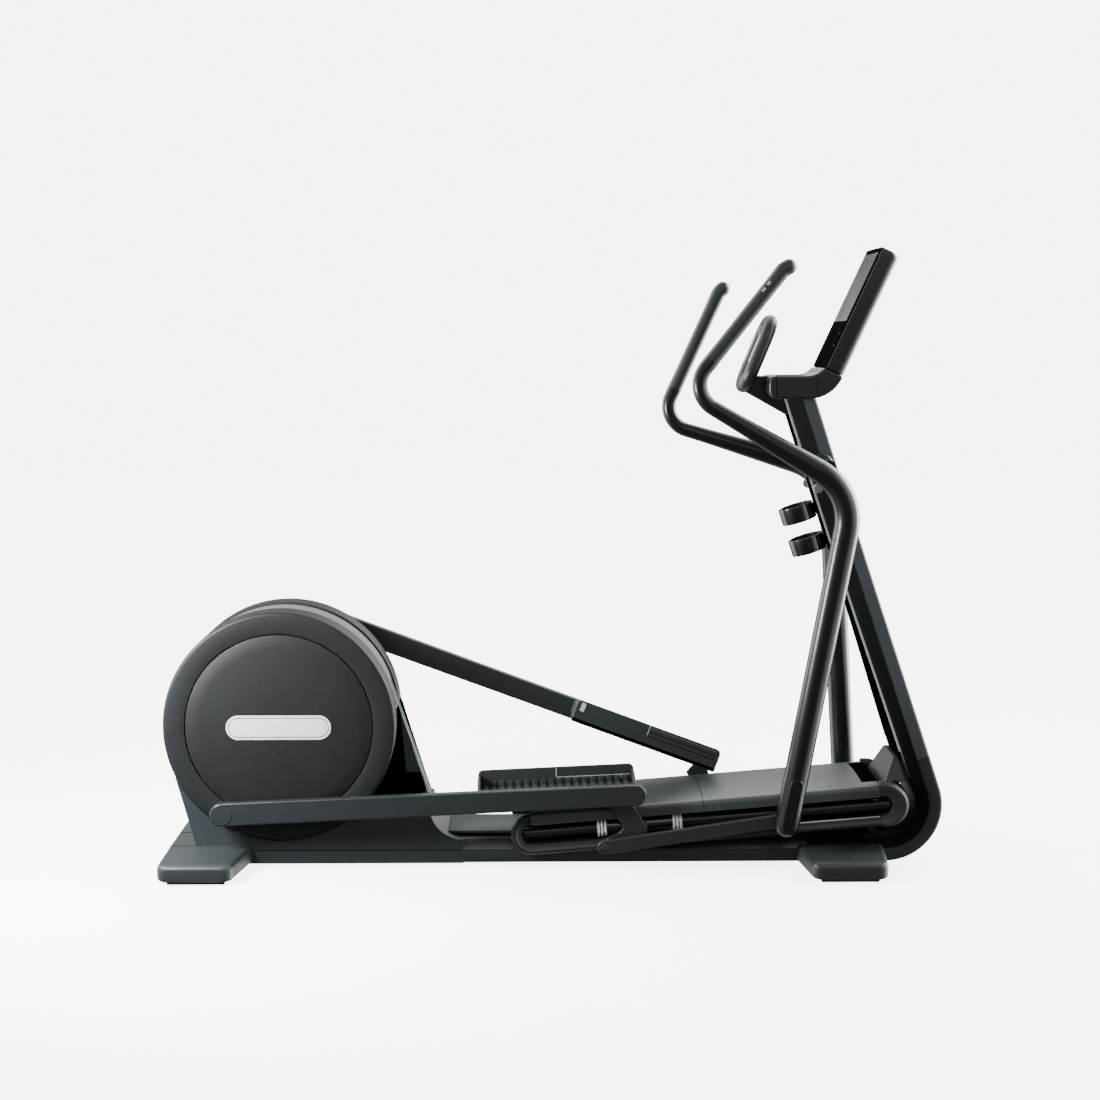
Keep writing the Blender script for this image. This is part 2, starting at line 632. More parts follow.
def build_trims():
    """The light plate behind the ramp, and the panel and edge strips on the inner side of the mast."""
    on_frame("base_top_plate", slab(rounded(BASE_PLATE), 90), PLATE, "cover", bevel=2)
    on_frame("base_plate_spacer", slab(box(-280, -74, 73.7, 80), 82), BLACK, "black")
    on_frame("mast_inner_panel", mast_strip(PANEL_FROM, -0.93, 0.93, 6, 2), BLACK, "black", bevel=1)
    for side, hand in SIDES:
        ends = sorted((0.95 * side, 1.0 * side))
        on_frame(f"mast_edge_strip_{hand}", mast_strip(STRIP_FROM, *ends, 7, 2.5), BRIGHT, "steel")
    knob = [(AXIS_R, 84), (AXIS_R, 99), (11, 99), (13, 96), (13, 84)]
    for side, hand in SIDES:
        on_frame(f"mast_side_plug_{hand}", lathe(knob, MAST_PLUG, side, 32), GREY, "cover")


# ---------------------------------------------------------------- pedestal, feet
def build_pedestal():
    seat = DISC_R + 3
    top_front = -math.degrees(math.asin((CRANK[1] - PEDESTAL_TOP) / seat))
    base_top = BASE_Z0 + BASE_DEPTH
    outline = [(PEDESTAL_REAR, BASE_Z0), (SEAM_REAR, BASE_Z0), (SEAM_REAR, base_top)]
    outline += arc((SEAM_REAR, base_top + PEDESTAL_SWEEP), PEDESTAL_SWEEP, -90, PEDESTAL_SWEEP_END, 20)
    outline += arc(CRANK, seat, top_front, PEDESTAL_SEAT_END, 64)
    on_frame("rear_pedestal_skin", slab(outline, BODY_HALF), FRAME, "frame", ["rear_pedestal"], bevel=5,
             angle=40)
    low, high = FOOT_BOTTOM, FOOT_TOP
    bridge = rounded([(-1046, low, 6), (-958, low, 0), (-974, high, 0), (-1046, high, 12)])
    on_frame("rear_foot_bridge", slab(bridge, BODY_HALF), FOOT, "cover", bevel=0.8)
    crossing = box(-1040, -976, high - 1, high + 0.3)
    for name, y in (("root", -BODY_HALF), ("middle", 12), ("far_root", BODY_HALF)):
        on_frame(f"rear_foot_seam_{name}", prism(crossing, y - 1.6, y + 1.6), BLACK, "black")
    line = box(PEDESTAL_REAR + 2, SEAM_REAR - 4, 44, 45.4)
    face = BODY_HALF
    screw = [(0, face - 1), (0, face + 0.6), (2.5, face + 0.6), (3, face + 2), (6, face + 2), (7, face + 1),
             (7, face - 1)]
    for side, hand in SIDES:
        on_frame(f"pedestal_side_line_{hand}", side_prism(line, side, face - 0.5, face + 0.4), BLACK, "black")
        on_frame(f"pedestal_screw_{hand}", lathe(screw, PEDESTAL_SCREW, side, 24), STEEL, "steel")


def foot_shape(rear, front, tip_rear, tip_front):
    """A tapered pillow block from the frame out to the rounded end."""
    def section(y, x0, x1, high):
        return [(x, y, z) for x, z in box(x0, x1, FOOT_BOTTOM, high, 8, 13, steps=5)]

    rings = []
    shoulder, tip_top = FOOT_HALF - FOOT_ROUND, FOOT_TOP - 3
    for i in range(7):
        t = i / 6
        y = mix(BODY_HALF + GAP, shoulder, t)
        rings.append(section(-y, mix(rear, tip_rear, t), mix(front, tip_front, t), mix(FOOT_TOP, tip_top, t)))
    for i in range(1, 9):
        a = math.pi / 2 * i / 8
        pull = FOOT_ROUND * (1 - math.cos(a))
        y = shoulder + FOOT_ROUND * math.sin(a)
        rings.append(section(-y, tip_rear + pull, tip_front - pull, tip_top - pull * 0.5))
    return loft(rings)


def build_feet():
    add = pairs("frame")
    for end, spans in FOOT_SPANS.items():
        add(f"{end}_foot_skin", foot_shape(*spans), FOOT, "cover", [f"{end}_foot_{{}}"])
        pad = box(*PAD_SPANS[end], 0, PAD_TOP, 3, 1)
        add(f"{end}_pad_skin", prism(pad, -PAD_OUT, -PAD_IN), RUBBER, "rubber", [f"{end}_pad_{{}}"], bevel=2)


# ---------------------------------------------------------------- drive
def drum_outline(inset):
    """The drum's round outline with its leaning front, down to the pedestal, drawn in by inset."""
    radius = DRUM_R - inset
    low = PEDESTAL_TOP + GAP + inset
    lean = (CRANK[0] + radius * math.cos(DRUM_LEAN), CRANK[1] + radius * math.sin(DRUM_LEAN))
    reach = (lean[1] - low) * math.tan(DRUM_LEAN)
    end = 360 - math.degrees(math.asin((CRANK[1] - low) / radius))
    points = arc(CRANK, radius, math.degrees(DRUM_LEAN), end, 150)
    return points + [(lean[0] + reach, low)]


def build_housing():
    front = drum_outline(-0.8)
    top, foot = front[0], front[-1]
    along = Vector((foot[0] - top[0], foot[1] - top[1])).normalized()
    strip = [(end[0] - depth * along.y, end[1] + depth * along.x)
             for end, depth in ((top, -4), (foot, -4), (foot, 0.4), (top, 0.4))]
    for side, hand in SIDES:
        shell = side_prism(drum_outline(0), side, 0.4, DRUM_HALF)
        on_frame(f"drum_housing_skin_{hand}", shell, DRUM, "cover", [f"drum_housing_{hand}"], bevel=2.5)
        for k, y in enumerate((22, 46)):
            on_frame(f"drum_front_line_{k}_{hand}", side_prism(strip, side, y, y + 1.6), BLACK, "black")


def build_drum_sides():
    """The dark recess in front of each disc and the lighter tapered panel set in it."""
    layers = (("recess", DRUM_RECESS, 0.7, BLACK), ("panel", DRUM_PANEL, 1.6, RAMP))
    for side, hand in SIDES:
        for name, outline, proud, material in layers:
            shape = side_prism(outline, side, DRUM_HALF - 0.5, DRUM_HALF + proud)
            on_frame(f"drum_side_{name}_{hand}", shape, material, "cover")


def build_crankset():
    face, back, edge = DISC_FACE, DISC_INNER, COVER_R
    rim = [(HUB_BORE, back + 16), (edge - 20, back + 16), (edge - 20, face - 26), (DISC_R - 6, face - 26),
           (DISC_R - 6, back), (DISC_R - 1.5, back), (DISC_R, back + 2), (DISC_R, face - 10)]
    for a in (math.radians(d) for d in range(10, 90, 10)):
        rim.append((DISC_R - 9 + 9 * math.cos(a), face - 9.5 + 9 * math.sin(a)))
    rim += [(DISC_R - 10, face - 0.5), (edge + 4, face), (edge + 2.6, face - 0.6), (edge + 2, face - 2),
            (edge + 2, face - 11.8), (HUB_BORE, face - 11.8)]
    cover = [(AXIS_R, face - 11.4), (edge - 0.3, face - 11.4), (edge - 0.3, face - 2), (edge - 1, face - 0.6),
             (edge - 2.6, face + 0.1), (edge - 40, face + 0.9), (edge - 110, face + 1.6), (AXIS_R, face + 2)]
    layers = (("badge_plate", 33, 3.2, SILVER, "steel"), ("badge_line", 27, 3.5, BLACK, "black"),
              ("badge_face", 25, 3.8, SILVER, "steel"))
    ends = ((CRANK[0] - BADGE_REACH, CRANK[1]), (CRANK[0] + BADGE_REACH, CRANK[1]))
    for side, hand in SIDES:
        for name, profile in (("crank_disc", rim), ("disc_cover", cover)):
            shape = lathe(profile, CRANK, side, 160)
            build(f"{name}_skin_{hand}", shape, DISC, "crankset", [f"{name}_{hand}"], "shell")
        for name, radius, proud, material, slot in layers:
            shape = side_prism(stadium(*ends, radius, steps=20), side, face + 1, face + proud)
            build(f"{name}_{hand}", shape, material, "crankset", slot=slot, bevel=0.3, segments=2)


# ---------------------------------------------------------------- ramp and rails
def lip_ring(u, angle, outer):
    """The rail's dished section, standing at an angle round the end of the slot at u along the rail."""
    ring = []
    for t, y in LIP:
        radius = mix(SLOT_HALF, outer, t)
        x, z = on_rail(u + radius * math.cos(angle), radius * math.sin(angle))
        ring.append((x, -y, z))
    return ring


def rail_sweep():
    """The tail ring of the slot, carried on along its lower side as one bar."""
    tail = [lip_ring(0, math.radians(mix(90, 270, i / 40)), RAIL_HALF) for i in range(41)]
    bar = [lip_ring(mix(0, RAIL_LENGTH - 6, i / 8), math.radians(270), RAIL_HALF) for i in range(1, 9)]
    return loft(tail + bar)


def rail_nose():
    """The ring round the front of the slot, widest at its tip, which meets the cover's shoulder above."""
    rings = []
    for i in range(41):
        a = math.radians(mix(-90, 90, i / 40))
        more = NOSE_TIP * math.cos(a) if a < 0 else mix(NOSE_TIP, NOSE_TOP, smooth(2 * a / math.pi))
        rings.append(lip_ring(RAIL_LENGTH - (5 if i in (0, 40) else 0), a, RAIL_HALF + more))
    return loft(rings)


def cover_height(y):
    return COVER_SHOULDER + (COVER_CROWN - COVER_SHOULDER) * (1 - (y / (RAIL_OUT - 10)) ** 2)


def across_rail(u, points):
    """A section of (distance from the middle, height) points standing across the rail at u."""
    return [(on_rail(u, h)[0], y, on_rail(u, h)[1]) for y, h in points]


def cover_section():
    """Section of the ramp cover across the machine: sides, rounded shoulders and a gentle crown."""
    half = RAIL_OUT
    points = [(-half, SLOT_HALF), (-half, 46), (-half + 1, 51), (-half + 4, 55), (-half + 9, 57.5)]
    for i in range(13):
        y = mix(-half + 20, half - 20, i / 12)
        points.append((y, cover_height(y)))
    points += [(half - 9, 57.5), (half - 4, 55), (half - 1, 51), (half, 46), (half, SLOT_HALF)]
    return points + [(RAIL_IN, SLOT_HALF), (RAIL_IN, 50), (-RAIL_IN, 50), (-RAIL_IN, SLOT_HALF)]


def build_ramp():
    add = pairs("frame")
    nose = RAIL_LENGTH - 6
    for end, u0, u1 in (("rear", GAP, COVER_SEAM - 0.8), ("front", COVER_SEAM + 0.8, nose)):
        rings = [across_rail(mix(u0, u1, i / 10), cover_section()) for i in range(11)]
        on_frame(f"ramp_cover_{end}_skin", loft(rings), RAMP, "cover", [f"ramp_cover_{end}"], angle=40)
    add("rail_lower_skin", rail_sweep(), RAMP_SIDE, "frame", ["rail_lower_{}"], angle=40)
    add("rail_nose_skin", rail_nose(), RAMP, "cover", ["rail_end_{}"])

    top = [(y, cover_height(y) + 0.7) for y in range(-112, 113, 28)]
    under = [(y, h - 3) for y, h in reversed(top)]
    rings = [across_rail(mix(RECESS_FROM, RAIL_LENGTH - 5.5, i / 8), top + under) for i in range(9)]
    on_frame("ramp_front_recess", loft(rings), BLACK, "black")
    ledge = [on_rail(*p) for p in box(300, RAIL_LENGTH - 8, -SLOT_HALF - 1.5, -SLOT_HALF + 0.8)]
    add("slot_ledge", prism(ledge, -150.2, -146), BRIGHT, "steel")
    rod = [Vector(on_rail(u)) for u in (-21, -19, -17, RAIL_LENGTH + 17, RAIL_LENGTH + 19, RAIL_LENGTH + 21)]
    add("guide_rod_skin", tube(rod, ROD_R, -ROD_Y), ROD, "rod", ["guide_rod_{}"])
    lining = [on_rail(*p) for p in box(-24, RAIL_LENGTH + 24, -26, 26)]
    add("slot_lining", prism(lining, -92, -89), BLACK, "black")


def neck_block():
    """The block above the bracket, which narrows from its foot to its top."""
    rings = []
    for t in (0, 0.5, 1):
        (x0, z0), (x1, z1) = [[mix(a, b, t) for a, b in zip(NECK_FOOT[i], NECK_TOP[i])] for i in (0, 1)]
        half = mix(NECK_FOOT[2], NECK_TOP[2], t)
        rings.append([(x0, -half, z0), (x1, -half, z1), (x1, half, z1), (x0, half, z0)])
    return loft(rings)


def build_front_bracket():
    """The round block that ties the ramp to the mast, with a sloping neck above it."""
    body = [BRACKET_FOOT] + arc(on_rail(RAIL_LENGTH), BRACKET_R, -96, 58, 40)
    body += [on_rail(RAIL_LENGTH + 8, 40), on_rail(RAIL_LENGTH - 5, 40)]
    on_frame("ramp_front_bracket_skin", slab(body, BRACKET_HALF), INNER, "cover", ["ramp_front_bracket"],
             bevel=3, angle=40)
    on_frame("ramp_front_neck", neck_block(), FOOT, "cover", bevel=3)


# ---------------------------------------------------------------- carriages, links, footplates
def shifted(p):
    """A point carried along the rail to where the left carriage stands."""
    return (p[0] + LEFT_SHIFT * math.cos(RAIL_SLOPE), p[1] + LEFT_SHIFT * math.sin(RAIL_SLOPE))


def rail_bar(profile, sides=48):
    """A profile of (distance from the sleeve's middle, radius) turned about the right guide rod."""
    rings = []
    for k in range(sides):
        a = 2 * math.pi * k / sides
        ring = []
        for u, r in profile:
            x, z = on_rail(SLEEVE_AT + u, r * math.sin(a))
            ring.append((x, -ROD_Y + r * math.cos(a), z))
        rings.append(ring)
    return loft(rings, closed=True)


def build_carriages():
    add = pairs("carriage_{}", left_place(LINK_PIVOT, shifted(LINK_PIVOT), 0))
    half, end, bore = SLEEVE_LENGTH / 2, SLEEVE_LENGTH / 2 + RING_LENGTH, ROD_R + 0.8
    plate = rounded([(x, z, 5) for x, z in CARRIAGE_PLATE], steps=4)
    add("carriage_plate", prism(plate, -PLATE_OUT, -PLATE_IN), SATIN, "frame", ["carriage_{}"], bevel=1.5)
    neck = [on_rail(*p) for p in box(250, 312, -17, 17)]
    add("carriage_neck", prism(neck, -(PLATE_IN + 1), -(ROD_Y + 18)), FRAME, "frame", bevel=3)
    sleeve = [(-half, bore), (-half, SLEEVE_R), (-half + 2, SLEEVE_R), (half, SLEEVE_R), (half, bore)]
    add("carriage_sleeve", rail_bar(sleeve), GLOSS, "rod")

    start, outer = half - 16, RING_R
    hub = [(start, SLEEVE_R - 1), (start, outer - 4), (end, outer - 4), (end, bore), (half + 0.2, bore),
           (half + 0.2, SLEEVE_R - 1)]
    for name, flip in (("front", 1), ("rear", -1)):
        for i in range(RING_RIBS):
            a, b = mix(start, end, (i + 0.1) / RING_RIBS), mix(start, end, (i + 0.72) / RING_RIBS)
            rib = ((a, outer - 4.5), (a, outer - 1), (a + 1, outer), (b - 1, outer), (b, outer - 1),
                   (b, outer - 4.5))
            add(f"carriage_rib_{name}_{i}", rail_bar([(flip * u, r) for u, r in rib]), CLEAR, "steel")
        add(f"carriage_ring_{name}", rail_bar([(flip * u, r) for u, r in hub]), EDGE, "steel")


def build_links():
    add = pairs("pedal_{}", left_place(LINK_PIVOT, shifted(LINK_PIVOT), LEFT_PITCH))
    rear = on_link(-LINK_LENGTH)
    bar = stadium(rear, LINK_PIVOT, LINK_REAR, LINK_FRONT, steps=24)
    add("link_bar_skin", prism(bar, -LINK_OUT, -LINK_IN), SATIN, "frame", ["link_bar_{}"], bevel=4, angle=40)
    rim, face = LINK_REAR, LINK_OUT
    pin = box(AXIS_R, 17, DISC_FACE + 5, LINK_IN + 1)
    pivot = box(AXIS_R, 10, PLATE_IN - 3, LINK_IN + 1)
    cap = [(AXIS_R, face - 0.5), (rim - 3, face - 0.5), (rim - 3, face + 0.1), (rim - 3.6, face + 0.5),
           (AXIS_R, face + 0.6)]
    line = box(rim - 2.6, rim - 1.6, face - 0.8, face + 0.3)
    pins = (("crank_pin", pin, rear, STEEL), ("crank_pin_cap", cap, rear, SATIN),
            ("crank_pin_line", line, rear, BLACK), ("front_pin", pivot, LINK_PIVOT, STEEL))
    for name, profile, centre, material in pins:
        add(name, lathe(profile, centre, RIGHT, 48), material, "frame")
    build_footplates(add)
    build_treads(add)


def cross_prism(outline, u0, u1):
    """An outline of (distance from the middle, height) in link coordinates, extruded along the link."""
    verts = []
    for u in (u0, u1):
        for y, v in outline:
            x, z = on_link(u, v)
            verts.append((x, -y, z))
    return verts, wrap(len(outline))


def link_box(u0, u1, v0, v1, y0, y1, lower=0, upper=0):
    """A box in link coordinates between two distances from the middle, with its long corners rounded."""
    return prism([on_link(*p) for p in box(u0, u1, v0, v1, lower, upper)], -y1, -y0)


def build_footplates(add):
    rear, front, rim, under = PEDAL_REAR, PEDAL_FRONT, PEDAL_RIM, PEDAL_UNDER
    floor, back, face, seam = PEDAL_FLOOR, PEDAL_IN, PEDAL_IN + PEDAL_WALL, PEDAL_SEAM
    base = link_box(rear, front, under, floor, back, PEDAL_OUT, 4, 1)
    ears = [link_box(u, u + EAR_LENGTH, under + 1, 1, PEDAL_OUT - 1, LINK_IN - GAP) for u in EARS]
    add("footplate_tray", join(base, *ears), SHELL, "shell", ["footplate_{}"], bevel=2)
    add("footplate_wall", link_box(rear, front, under, rim, back, face, 4, 14), FOOT, "shell", bevel=3)
    end_plate = rounded([(back + 1, under + 1, 0), (PEDAL_OUT, under + 1, 3), (PEDAL_OUT, 14, 6),
                         (124, rim - 13, 34), (back + 1, rim - 13, 0)])
    for name, u0, u1 in (("rear", rear, rear + PEDAL_WALL), ("front", front - PEDAL_WALL, front)):
        add(f"footplate_end_{name}", cross_prism(end_plate, u0, u1), FOOT, "shell", bevel=2.5)
    lip = link_box(rear, front, floor - 2, floor + 7, PEDAL_OUT - 5, PEDAL_OUT, 0, 3)
    add("footplate_lip", lip, SHELL, "shell", bevel=1.5)

    middle = mix(rear, front, 0.5)
    upright = link_box(middle, middle + 2, seam, rim + 0.2, back - 0.3, face + 0.5)
    add("footplate_seam_upright", upright, BRIGHT, "steel")
    along = link_box(middle, front - 10, seam, seam + 1.6, face - 0.5, face + 0.5)
    add("footplate_seam_along", along, BRIGHT, "steel")
    for index, (drop, material) in enumerate(((8, EDGE), (20, BLACK), (32, BLACK))):
        groove = link_box(middle + 4, front - 12, rim - drop, rim - drop + 1.8, back - 0.4, back + 0.5)
        add(f"footplate_back_line_{index}", groove, material, "black")
    badge = link_box(rear + 14, rear + 26, rim - 30, rim - 5, back - 0.6, back + 0.5, 3, 3)
    add("footplate_back_badge", badge, BRIGHT, "steel", bevel=0.3)
    dot = [(AXIS_R, face - 1), (3.5, face - 1), (3.5, face + 0.6), (2.6, face + 1.4), (AXIS_R, face + 1.6)]
    add("footplate_dot", lathe(dot, on_link(-32, 19), RIGHT, 24), GOLD, "steel")


def build_treads(add):
    rear, front, face = PEDAL_REAR, PEDAL_FRONT, PEDAL_IN + PEDAL_WALL
    for i in range(TREAD_RIBS):
        u = mix(rear + 14, front - 28, i / (TREAD_RIBS - 1))
        tread = link_box(u, u + TREAD_WIDTH, 3, 10, face + 2, PEDAL_OUT - 6, 0, 3)
        riser = link_box(u, u + TREAD_WIDTH, 6, PEDAL_SEAM - 2, face - 1, face + 3, 0, 4)
        add(f"tread_rib_{i:02d}", join(tread, riser), TREAD, "rubber", bevel=2)
    mat = link_box(rear + 8, front - 8, 2.3, 6, face + 1, PEDAL_OUT - 5.3, 0, 2)
    add("footplate_mat_skin", mat, TREAD, "rubber", ["footplate_mat_{}"], bevel=1)


def build_drag_links():
    add = pairs("drag_{}", left_place(DRAG, shifted(DRAG), LEFT_DRAG))
    front = (DRAG[0] + DRAG_LENGTH * math.cos(DRAG_ANGLE), DRAG[1] + DRAG_LENGTH * math.sin(DRAG_ANGLE))
    bar = stadium(DRAG, front, DRAG_REAR, DRAG_FRONT, steps=20)
    shape = prism(bar, -DRAG_OUT, -DRAG_IN)
    add("drag_link_skin", shape, SATIN, "frame", ["drag_link_{}"], bevel=3, angle=40)
    face = DRAG_OUT
    pin = box(AXIS_R, 9, face - 1, DRAG_PIN_OUT)
    cap = [(AXIS_R, face - 0.5), (11, face - 0.5), (11, face + 1.4), (9.5, face + 2.2), (AXIS_R, face + 2.4)]
    add("drag_link_front_pin", lathe(pin, front, RIGHT, 32), STEEL, "steel")
    add("drag_link_rear_cap", lathe(cap, DRAG, RIGHT, 32), FRAME, "frame")


# ---------------------------------------------------------------- arms
def build_arms():
    add = pairs("arm_{}", left_place(ARM_PIVOT, ARM_PIVOT, LEFT_SWING))
    down = Vector((-math.sin(ARM_LEAN), -math.cos(ARM_LEAN)))
    corner = Vector(ARM_CORNER)
    seam, low = corner + down * ARM_SEAM, corner + down * ARM_LENGTH
    path, radius = domed([seam, seam.lerp(low, 0.5), low], ARM_R)
    add("arm_lower_skin", tube(path, radius, -ARM_Y, 48), TUBE, "tube", ["arm_lower_{}"])
    recess = stadium(tuple(corner + down * RECESS_LOW), tuple(corner + down * RECESS_HIGH), RECESS_R)
    face = ARM_Y + ARM_R
    add("arm_foot_recess", prism(recess, -(face + 0.3), -(face - 8)), GLOSS, "black", bevel=2)

    joint = seam - down * 1.2
    bend = bent_path([(joint.x, joint.y), (*ARM_CORNER, ARM_CORNER_R), (*ARM_BACK, ARM_BACK_R), GRIP_START])

    def taper(t):
        return mix(ARM_R, ARM_TOP_R, smooth((t - 0.1) / 0.75))

    add("arm_upper_skin", tube(bend, taper, -ARM_Y, 48), TUBE, "tube", ["arm_upper_{}"])
    add("arm_hub", lathe(box(12.3, 20, 111, 206), ARM_PIVOT, RIGHT, 40), TUBE, "tube")
    build_grips(add)


def build_grips(add):
    """The collar, the grip with its round tip and slightly fuller end, and two small keys."""
    start, turn = Vector(GRIP_START), Vector(GRIP_BEND)
    along = (turn - start).normalized()
    collar = [start - along * 6, start - along * 5, start + along * 5, start + along * 6]
    add("arm_grip_collar", tube(collar, COLLAR_R, -ARM_Y), GLOSS, "black")
    path = bent_path([tuple(start + along * 6.2), (*GRIP_BEND, GRIP_BEND_R), GRIP_TIP])
    grip, round_tip = domed(path, GRIP_R)

    def swell(t):
        return round_tip(t) * mix(0.99, 0.96, smooth(t / 0.12)) * (1 + 0.05 * smooth((t - 0.78) / 0.1))

    add("arm_grip_skin", tube(grip, swell, -ARM_Y), RUBBER, "rubber", ["arm_grip_{}"])
    across = Vector((-along.y, along.x))
    for index, share in enumerate(KEY_SHARES):
        spot = start.lerp(turn, share) + across * KEY_OFFSET
        key = stadium(tuple(spot - along * 3.5), tuple(spot + along * 3.5), 2.8, steps=10)
        add(f"arm_grip_key_{index}", prism(key, -(ARM_Y + 18.6), -(ARM_Y + 6)), BRIGHT, "steel", bevel=0.8)


# ---------------------------------------------------------------- console, handlebar, bottle rings
def console_at(d, h):
    """Depth d behind the screen face and height h up it, as (x, z)."""
    c, s = math.cos(CONSOLE_TILT), math.sin(CONSOLE_TILT)
    return (SEAT[0] + d * c + h * s, SEAT[1] - d * s + h * c)


def quad_curve(a, control, b, steps=8):
    """Points of a curve from a to b that is pulled towards a control point."""
    points = []
    for t in (i / steps for i in range(steps + 1)):
        points.append(tuple(mix(mix(a[k], control[k], t), mix(control[k], b[k], t), t) for k in (0, 1)))
    return points


def build_tray():
    low, high, rear, half = CONSOLE_BOTTOM, CONSOLE_TOP, TRAY_REAR, CONSOLE_HALF
    tray = [(600, low)] + quad_curve((683, low), (742, low + 4), (769.5, 1323.5))
    tray += quad_curve((SEAT[0] - 0.3, SEAT[1] - 1.3), (701, high + 1), (672, high))
    tray += quad_curve((594, high), (rear, high), (rear, high - 22))
    tray += quad_curve((rear, low + 28), (rear, low), (600, low))[:-1]
    on_frame("console_tray_skin", slab(tray, half), SHELL, "shell", ["console_tray"], bevel=9, segments=5,
             angle=40)
    on_frame("console_tray_well", slab(box(598, 676, high - 2, high + 0.4), 84), BLACK, "black", bevel=0.3)


def display_housing():
    """The display's shell: a section with round rear corners, closed by a round top."""
    deep, side, turn = CONSOLE_THICK, CONSOLE_HALF, DISPLAY_ROUND
    corner = [(DISPLAY_FRONT, side), (deep - turn, side)]
    for a in (math.radians(d) for d in range(10, 91, 10)):
        corner.append((deep - turn + turn * math.sin(a), side - turn + turn * math.cos(a)))
    section = corner + [(d, -y) for d, y in reversed(corner)]
    levels = [(0, 2), (0.8, 0.6), (2.5, 0)]
    for a in (math.radians(d) for d in range(0, 91, 10)):
        levels.append((CONSOLE_HEIGHT - 16 + 16 * math.sin(a), 16 * (1 - math.cos(a))))
    rings = []
    for h, pull in levels:
        ring = []
        for d, y in section:
            share = (d - DISPLAY_FRONT) / (deep - DISPLAY_FRONT)
            x, z = console_at(d - pull * share, h)
            ring.append((x, y * (1 - 0.25 * pull / side), z))
        rings.append(ring)
    return loft(rings)


def face_panel(d0, d1, h0, h1):
    """Outline of a panel of the display between two depths and two heights."""
    return [console_at(*p) for p in box(d0, d1, h0, h1)]


def build_console():
    build_tray()
    on_frame("display_housing_skin", display_housing(), SHELL, "shell", ["display_housing"], angle=40)
    high, half = CONSOLE_HEIGHT, CONSOLE_HALF - 3
    bezel = face_panel(0.5, 4.8, 1, high - 1)
    on_frame("display_bezel", slab(bezel, half), BEZEL, "glass", ["display_glass"], bevel=1)
    screen = face_panel(-0.1, 0.8, SCREEN_FOOT, high - 16)
    on_frame("display_screen", slab(screen, half - 8), GLASS, "glass")
    edge = face_panel(4.8, 6.4, 2, high - 2)
    on_frame("display_edge_line", slab(edge, CONSOLE_HALF + 0.3), EDGE, "steel")
    for index, h in enumerate((60, 96)):
        spot = face_panel(-0.2, 0.7, h, h + 4)
        on_frame(f"display_light_{index}", prism(spot, -(half - 12), -(half - 16)), GREY, "glass")
    for name, x0, x1 in (("rear", 590, 591.4), ("front", 700, 701.2)):
        band = box(x0, x1, CONSOLE_BOTTOM + 6, CONSOLE_TOP - 2)
        on_frame(f"console_seam_{name}", slab(band, CONSOLE_HALF + 0.4), BLACK, "black")


def loop_tube(sides=28, steps=10):
    """The handlebar's closed tube in its leaning plane."""
    turn, side, far = LOOP_TURN, LOOP_HALF - LOOP_TURN, LOOP_REACH - LOOP_TURN
    loop = []
    for cu, cy, start in ((far, side, 0), (turn, side, 90), (turn, -side, 180), (far, -side, 270)):
        for a in (math.radians(start + 90 * i / steps) for i in range(steps + 1)):
            loop.append((cu + turn * math.cos(a), cy + turn * math.sin(a)))
    c, s = math.cos(LOOP_LEAN), math.sin(LOOP_LEAN)
    rings = []
    for i, (u, y) in enumerate(loop):
        un, yn = loop[(i + 1) % len(loop)]
        ub, yb = loop[i - 1]
        along = Vector((un - ub, yn - yb)).normalized()
        ring = []
        for k in range(sides):
            a = 2 * math.pi * k / sides
            out, up = LOOP_R * math.cos(a), LOOP_R * math.sin(a)
            pu, py = u + along.y * out, y - along.x * out
            ring.append((LOOP_FOOT[0] + pu * s + up * c, py, LOOP_FOOT[1] + pu * c - up * s))
        rings.append(ring)
    return loft(rings, closed=True)


def build_handlebar():
    on_frame("fixed_handlebar_skin", loop_tube(), RUBBER, "rubber", ["fixed_handlebar"])
    on_frame("handlebar_wedge", slab(rounded(WEDGE), 24), GLOSS, "black", ["handlebar_bracket"], bevel=3)
    foot = Vector(LOOP_FOOT)
    rise = Vector((math.sin(LOOP_LEAN), math.cos(LOOP_LEAN)))
    out = Vector((-math.cos(LOOP_LEAN), math.sin(LOOP_LEAN)))
    a, b = [foot + rise * u + out * PULSE_OUT for u in PULSE_SPAN]
    for side, hand in SIDES:
        plate = tube([a, a.lerp(b, 0.02), a.lerp(b, 0.98), b], PULSE_R, side * LOOP_HALF, 32)
        on_frame(f"pulse_plate_{hand}", plate, PULSE, "steel")


def square_to_mast(centre, x, h):
    """The (x, z) of a point x across and h along the mast's lean from a centre."""
    c, s = math.cos(MAST_LEAN), math.sin(MAST_LEAN)
    return (centre[0] + x * c - h * s, centre[1] + x * s + h * c)


def build_bottle_rings():
    for name, centre in BOTTLE_RINGS.items():
        rings = []
        for k in range(72):
            a = 2 * math.pi * k / 72
            ring = []
            for r, h in BOTTLE_SECTION:
                x, z = square_to_mast(centre, r * math.cos(a), h)
                ring.append((x, r * math.sin(a), z))
            rings.append(ring)
        shape = loft(rings, closed=True)
        on_frame(f"bottle_ring_{name}_skin", shape, GLOSS, "black", [f"bottle_ring_{name}"])
        corners = rounded([(44, -15, 2), (49.4, -15, 0), (49.4, 15, 0), (44, 15, 2)])
        tab = [square_to_mast(centre, x, h) for x, h in corners]
        on_frame(f"bottle_ring_{name}_tab", slab(tab, 15), BLACK, "black", bevel=1)


